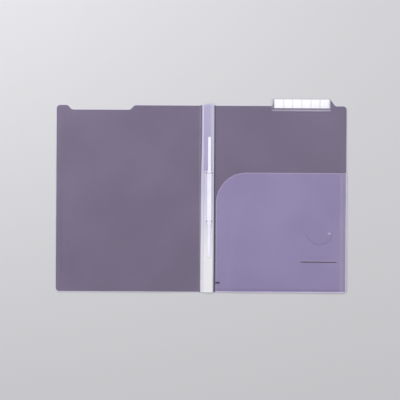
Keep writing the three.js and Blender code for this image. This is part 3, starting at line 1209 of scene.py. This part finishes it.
@dataclass
class BindingStrip:
    """The milky strip: welded along both its sides, and raised over the fastener's base."""

    reach_over_spine: float = 0.0032
    taper: float = 0.0017
    taper_from: float = 0.0
    taper_to: float = 0.105
    film: float = 0.0004
    inner_weld: float = 0.0018
    outer_weld: float = 0.0013
    ramp: float = 0.0007
    rise_at_head: float = 0.0035
    crease_half_width: float = 0.0006
    crease_half_steps: int = 4
    plate_overhang: float = 0.002
    plate_room: float = 0.0003
    plate_slope: float = 0.0009
    sink: float = 0.0002
    holes: PunchHoles = PunchHoles()

    def build(self) -> None:
        """Makes the strip."""
        low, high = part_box("binding_strip")
        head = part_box("front_cover")[1].y
        crease = crease_x("spine_fold")
        start = crease - self.reach_over_spine
        blank = Blank("binding_strip_film", (start, low.y), (high.x, high.y), low.z)
        slant = math.atan2(self.rise_at_head, high.x - start)
        blank.cut((start, head, 0), (-math.sin(slant), math.cos(slant), 0), clear=True)
        half, steps = self.crease_half_width, self.crease_half_steps
        folds = [crease + half * n / steps for n in range(-steps, steps + 1)]
        feet = (low.x + self.inner_weld, high.x - self.outer_weld)
        flat = (feet[0] + self.ramp, feet[1] - self.ramp)
        blank.score([*folds, *flat, *feet], multiples(low.y, high.y, GRID))
        self.narrow_head(blank, start)
        raised = (flat[0] - NEAR, flat[1] + NEAR)
        blank.move((0, 0, high.z - low.z - self.film), lambda v: raised[0] < v.x < raised[1])
        middle = self.holes.middle().y
        reach = self.holes.pitch / 2 + self.plate_overhang + self.plate_room
        past = reach + self.plate_slope
        blank.score(ys=[middle + way * offset for way in (-1, 1) for offset in (reach, past)])
        blank.move(
            (0, 0, -self.sink),
            lambda v: raised[0] < v.x < raised[1] and abs(v.y - middle) > past - NEAR,
        )
        blank.drop(blank.mark_out(*self.holes.slots()))
        blank.paint(Patch.EDGE, lambda m: m.x > feet[1] or folds[0] < m.x < folds[-1])
        # Painted highlight on the step where the strip rises over the plate's ends.
        blank.paint(Patch.EDGE, lambda m: flat[0] < m.x < flat[1] and reach < m.y - middle < past)
        blank.thicken(self.film)
        thing = blank.done((MILKY_WITH_GLARE, STRIP_WELD_AND_HIGHLIGHT), "milky_film", "binding_strip")
        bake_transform(thing)

    def narrow_head(self, blank: Blank, start: float) -> None:
        """Draws the strip's free edge in towards its head.

        Args:
            blank: the strip.
            start: the x of its free edge.
        """
        places = [v.co.copy() for v in bmesh.from_edit_mesh(blank.thing.data).verts]
        for y in [place.y for place in places if abs(place.x - start) < NEAR]:
            inwards = self.taper * ease(y, self.taper_from, self.taper_to)
            if inwards:
                blank.move((inwards, 0, 0), lambda v: at(v, start, y))


@dataclass
class Fastener:
    """The moulded base with its two folded prongs, and the bar that they hold."""

    base_overhang: float = 0.002
    base_thickness: float = 0.0008
    base_rounding: float = 0.002
    prong_width: float = 0.005
    prong_thickness: float = 0.0005
    prong_slope: float = 0.006
    past_bar: float = 0.0003
    bend: float = 0.00035
    bend_steps: int = 4
    soft_edge: float = 0.00012
    hole_clearance: float = 0.0003
    bar_rounding: float = 0.002
    bar_edge: float = 0.0002
    channel_inset: float = 0.0008
    channel_depth: float = 0.0003
    holes: PunchHoles = PunchHoles()

    def build(self) -> None:
        """Makes the base, its prongs and the bar."""
        base = self.base()
        for name, side in (("lower_prong", -1), ("upper_prong", 1)):
            prong = self.prong(name, side)
            base.modify("BOOLEAN", object=prong, operation="UNION", solver="EXACT")
            bpy.data.objects.remove(prong)
        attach(base.done((MOULDED, SLOT_SHADOW), "white_plastic", "fastener_base"), BACK)
        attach(self.bar(), BACK)

    def base(self) -> Blank:
        """Makes the plate under the strip, shaded where it shows through the strip's slots.

        Returns:
            The plate.
        """
        low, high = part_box("fastener_base")
        middle = self.holes.middle().y
        half = self.holes.pitch / 2 + self.base_overhang
        blank = Blank("fastener", (low.x, middle - half), (high.x, middle + half), low.z)
        blank.round_off(blank.corners, self.base_rounding)
        # Painted shadow where the plate shows through the strip's slots.
        blank.paint(Patch.EDGE, blank.mark_out(*self.holes.slots()))
        blank.thicken(self.base_thickness, edge=self.soft_edge)
        return blank

    def prong(self, name: str, side: int) -> Thing:
        """Makes one prong: up through the bar, over the bar's end and flat on the strip.

        Args:
            name: the prong's name.
            side: 1 for the upper prong, -1 for the lower one.

        Returns:
            The prong.
        """
        low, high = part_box("fastener_base")
        bar_low, bar_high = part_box("compressor_bar")
        middle = self.holes.middle()
        root = middle.y + side * self.holes.pitch / 2
        foot = low.z + self.base_thickness / 2
        over = bar_high.z + self.prong_thickness / 2
        flat = bar_low.z + self.prong_thickness / 2
        tip, bar_end = (high.y, bar_high.y) if side > 0 else (low.y, bar_low.y)
        past = bar_end + side * self.past_bar
        down = past + side * self.prong_slope
        route = [(root, foot), (root, over), (past, over), (down, flat), (tip, flat)]
        blank = self.ribbon(name, middle.x, route)
        for y, z in route[1:-1]:
            blank.pick_edge((middle.x, y, z))
            bpy.ops.mesh.bevel(offset=self.bend, segments=self.bend_steps, affect="EDGES")
        half = self.prong_width / 2
        blank.round_off(((middle.x - half, tip), (middle.x + half, tip)), half - 2 * SLIVER)
        blank.thicken(self.prong_thickness, 0.0, self.soft_edge)
        return blank.thing

    def ribbon(self, name: str, x: float, route: list[Range]) -> Blank:
        """Lays a ribbon along a route by extruding its end edge.

        Args:
            name: the ribbon's name.
            x: the ribbon's middle.
            route: the y and z of each point.

        Returns:
            The ribbon.
        """
        half = self.prong_width / 2
        (y0, z0), (_, z1) = route[:2]
        rise = z1 - z0
        blank = Blank(name, (x - half, y0), (x + half, y0 + rise), z0)
        blank.move((0, -rise, rise), lambda v: v.y > y0 + NEAR)
        for (ya, za), (yb, zb) in zip(route[1:], route[2:]):
            blank.pick_edge((x, ya, za))
            blank.extend((0, yb - ya, zb - za))
        return blank

    def bar(self) -> Thing:
        """Makes the bar with a hole for each prong and a shallow channel between them.

        Returns:
            The bar.
        """
        low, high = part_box("compressor_bar")
        blank = Blank("compressor", (low.x, low.y), (high.x, high.y), low.z)
        blank.round_off(blank.corners, self.bar_rounding)
        room = 2 * self.hole_clearance
        openings = self.holes.openings(self.prong_width + room, self.prong_thickness + room)
        blank.drop(blank.mark_out(*openings))
        blank.thicken(high.z - low.z)
        blank.enter_edit()
        (xs, (_, start)), (_, (end, _)) = openings
        channel = (xs, (start, end))
        blank.pick(Choice.FACES, lambda m: inside(channel, m) and m.z > high.z - NEAR)
        bpy.ops.mesh.inset(thickness=self.channel_inset, depth=-self.channel_depth)
        blank.soften(self.bar_edge)
        return blank.done((MOULDED,), "white_plastic", "compressor_bar")


@dataclass
class IndexLabel:
    """The clear sleeve over the tab and the card in it."""

    film: float = 0.0002
    weld: float = 0.0031
    ramp: float = 0.0011
    edge_band: float = 0.0007
    rib_pitch: float = 0.0012
    rib_inset: float = 0.00015
    rib_height: float = 0.00008
    seat: float = 0.00003
    card_margin: float = 0.00115
    card_edge: float = 0.00004

    def build(self) -> None:
        """Makes the sleeve and the card."""
        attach(self.sleeve(), BACK)
        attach(self.card(), BACK)

    def sleeve(self) -> Thing:
        """Makes the sleeve: welded at its foot, clear of the card, closed over the tab's top edge.

        Returns:
            The sleeve.
        """
        low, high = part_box("index_sleeve")
        sheet_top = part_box("back_cover")[1].z
        lip = high.y - self.film / 2
        foot = sheet_top + self.film / 2 + self.seat
        top = high.z - self.film / 2
        blank = Blank("label_sleeve", (low.x, low.y), (high.x, lip), foot)
        # Painted highlight along the sleeve's cut edge.
        blank.edge_band(self.edge_band)
        weld = low.y + self.weld
        rise = weld + self.ramp
        blank.score(multiples(low.x, high.x, self.rib_pitch), (weld, rise))
        blank.move((0, 0, top - foot), lambda v: v.y > rise - NEAR)
        blank.paint(Patch.MARK, lambda m: m.y < weld)
        # Painted shadow on the ramp above the weld.
        blank.paint(Patch.FOLD, lambda m: weld < m.y < rise)
        blank.pick(
            Choice.FACES,
            lambda m: low.y + self.edge_band < m.y < weld and int(m.x / self.rib_pitch) % 2 == 0,
        )
        bpy.ops.mesh.inset(thickness=self.rib_inset, depth=self.rib_height, use_individual=True)
        blank.pick(Choice.EDGES, lambda m: abs(m.y - lip) < NEAR)
        blank.extend((0, 0, low.z + NEAR - top))
        blank.thicken(self.film, 0.0)
        finishes = (SLEEVE, SLEEVE_EDGE_HIGHLIGHT, SLEEVE_WELD, SLEEVE_RAMP_SHADOW)
        return blank.done(finishes, "sleeve_film", "index_sleeve")

    def card(self) -> Thing:
        """Makes the card with its cells.

        Returns:
            The card.
        """
        low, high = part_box("label_card")
        finish = PrintedCard(
            "label_card_stock", (0.93, 0.93, 0.95), (0.97, 0.97, 0.98), gloss=(0.6, 0.75),
            grain_size=0.0004, start=low.x + self.card_margin,
        )
        blank = Blank("label", (low.x, low.y), (high.x, high.y), low.z + self.seat)
        blank.thicken(high.z - low.z - self.seat, edge=self.card_edge)
        return blank.done((finish,), "label_card", "label_card")


def main() -> None:
    """Builds the holder, piece by piece, and its studio."""
    logging.basicConfig(level=logging.INFO, format="%(name)s: %(message)s")
    Studio().build()
    pocket = CornerPocket()
    sheet = FoldedSheet(shaded=pocket.openings())
    for assembly in (sheet, pocket, BindingStrip(), Fastener(), IndexLabel()):
        log.info("building the %s", type(assembly).__name__)
        assembly.build()


if __name__ == "__main__":
    main()
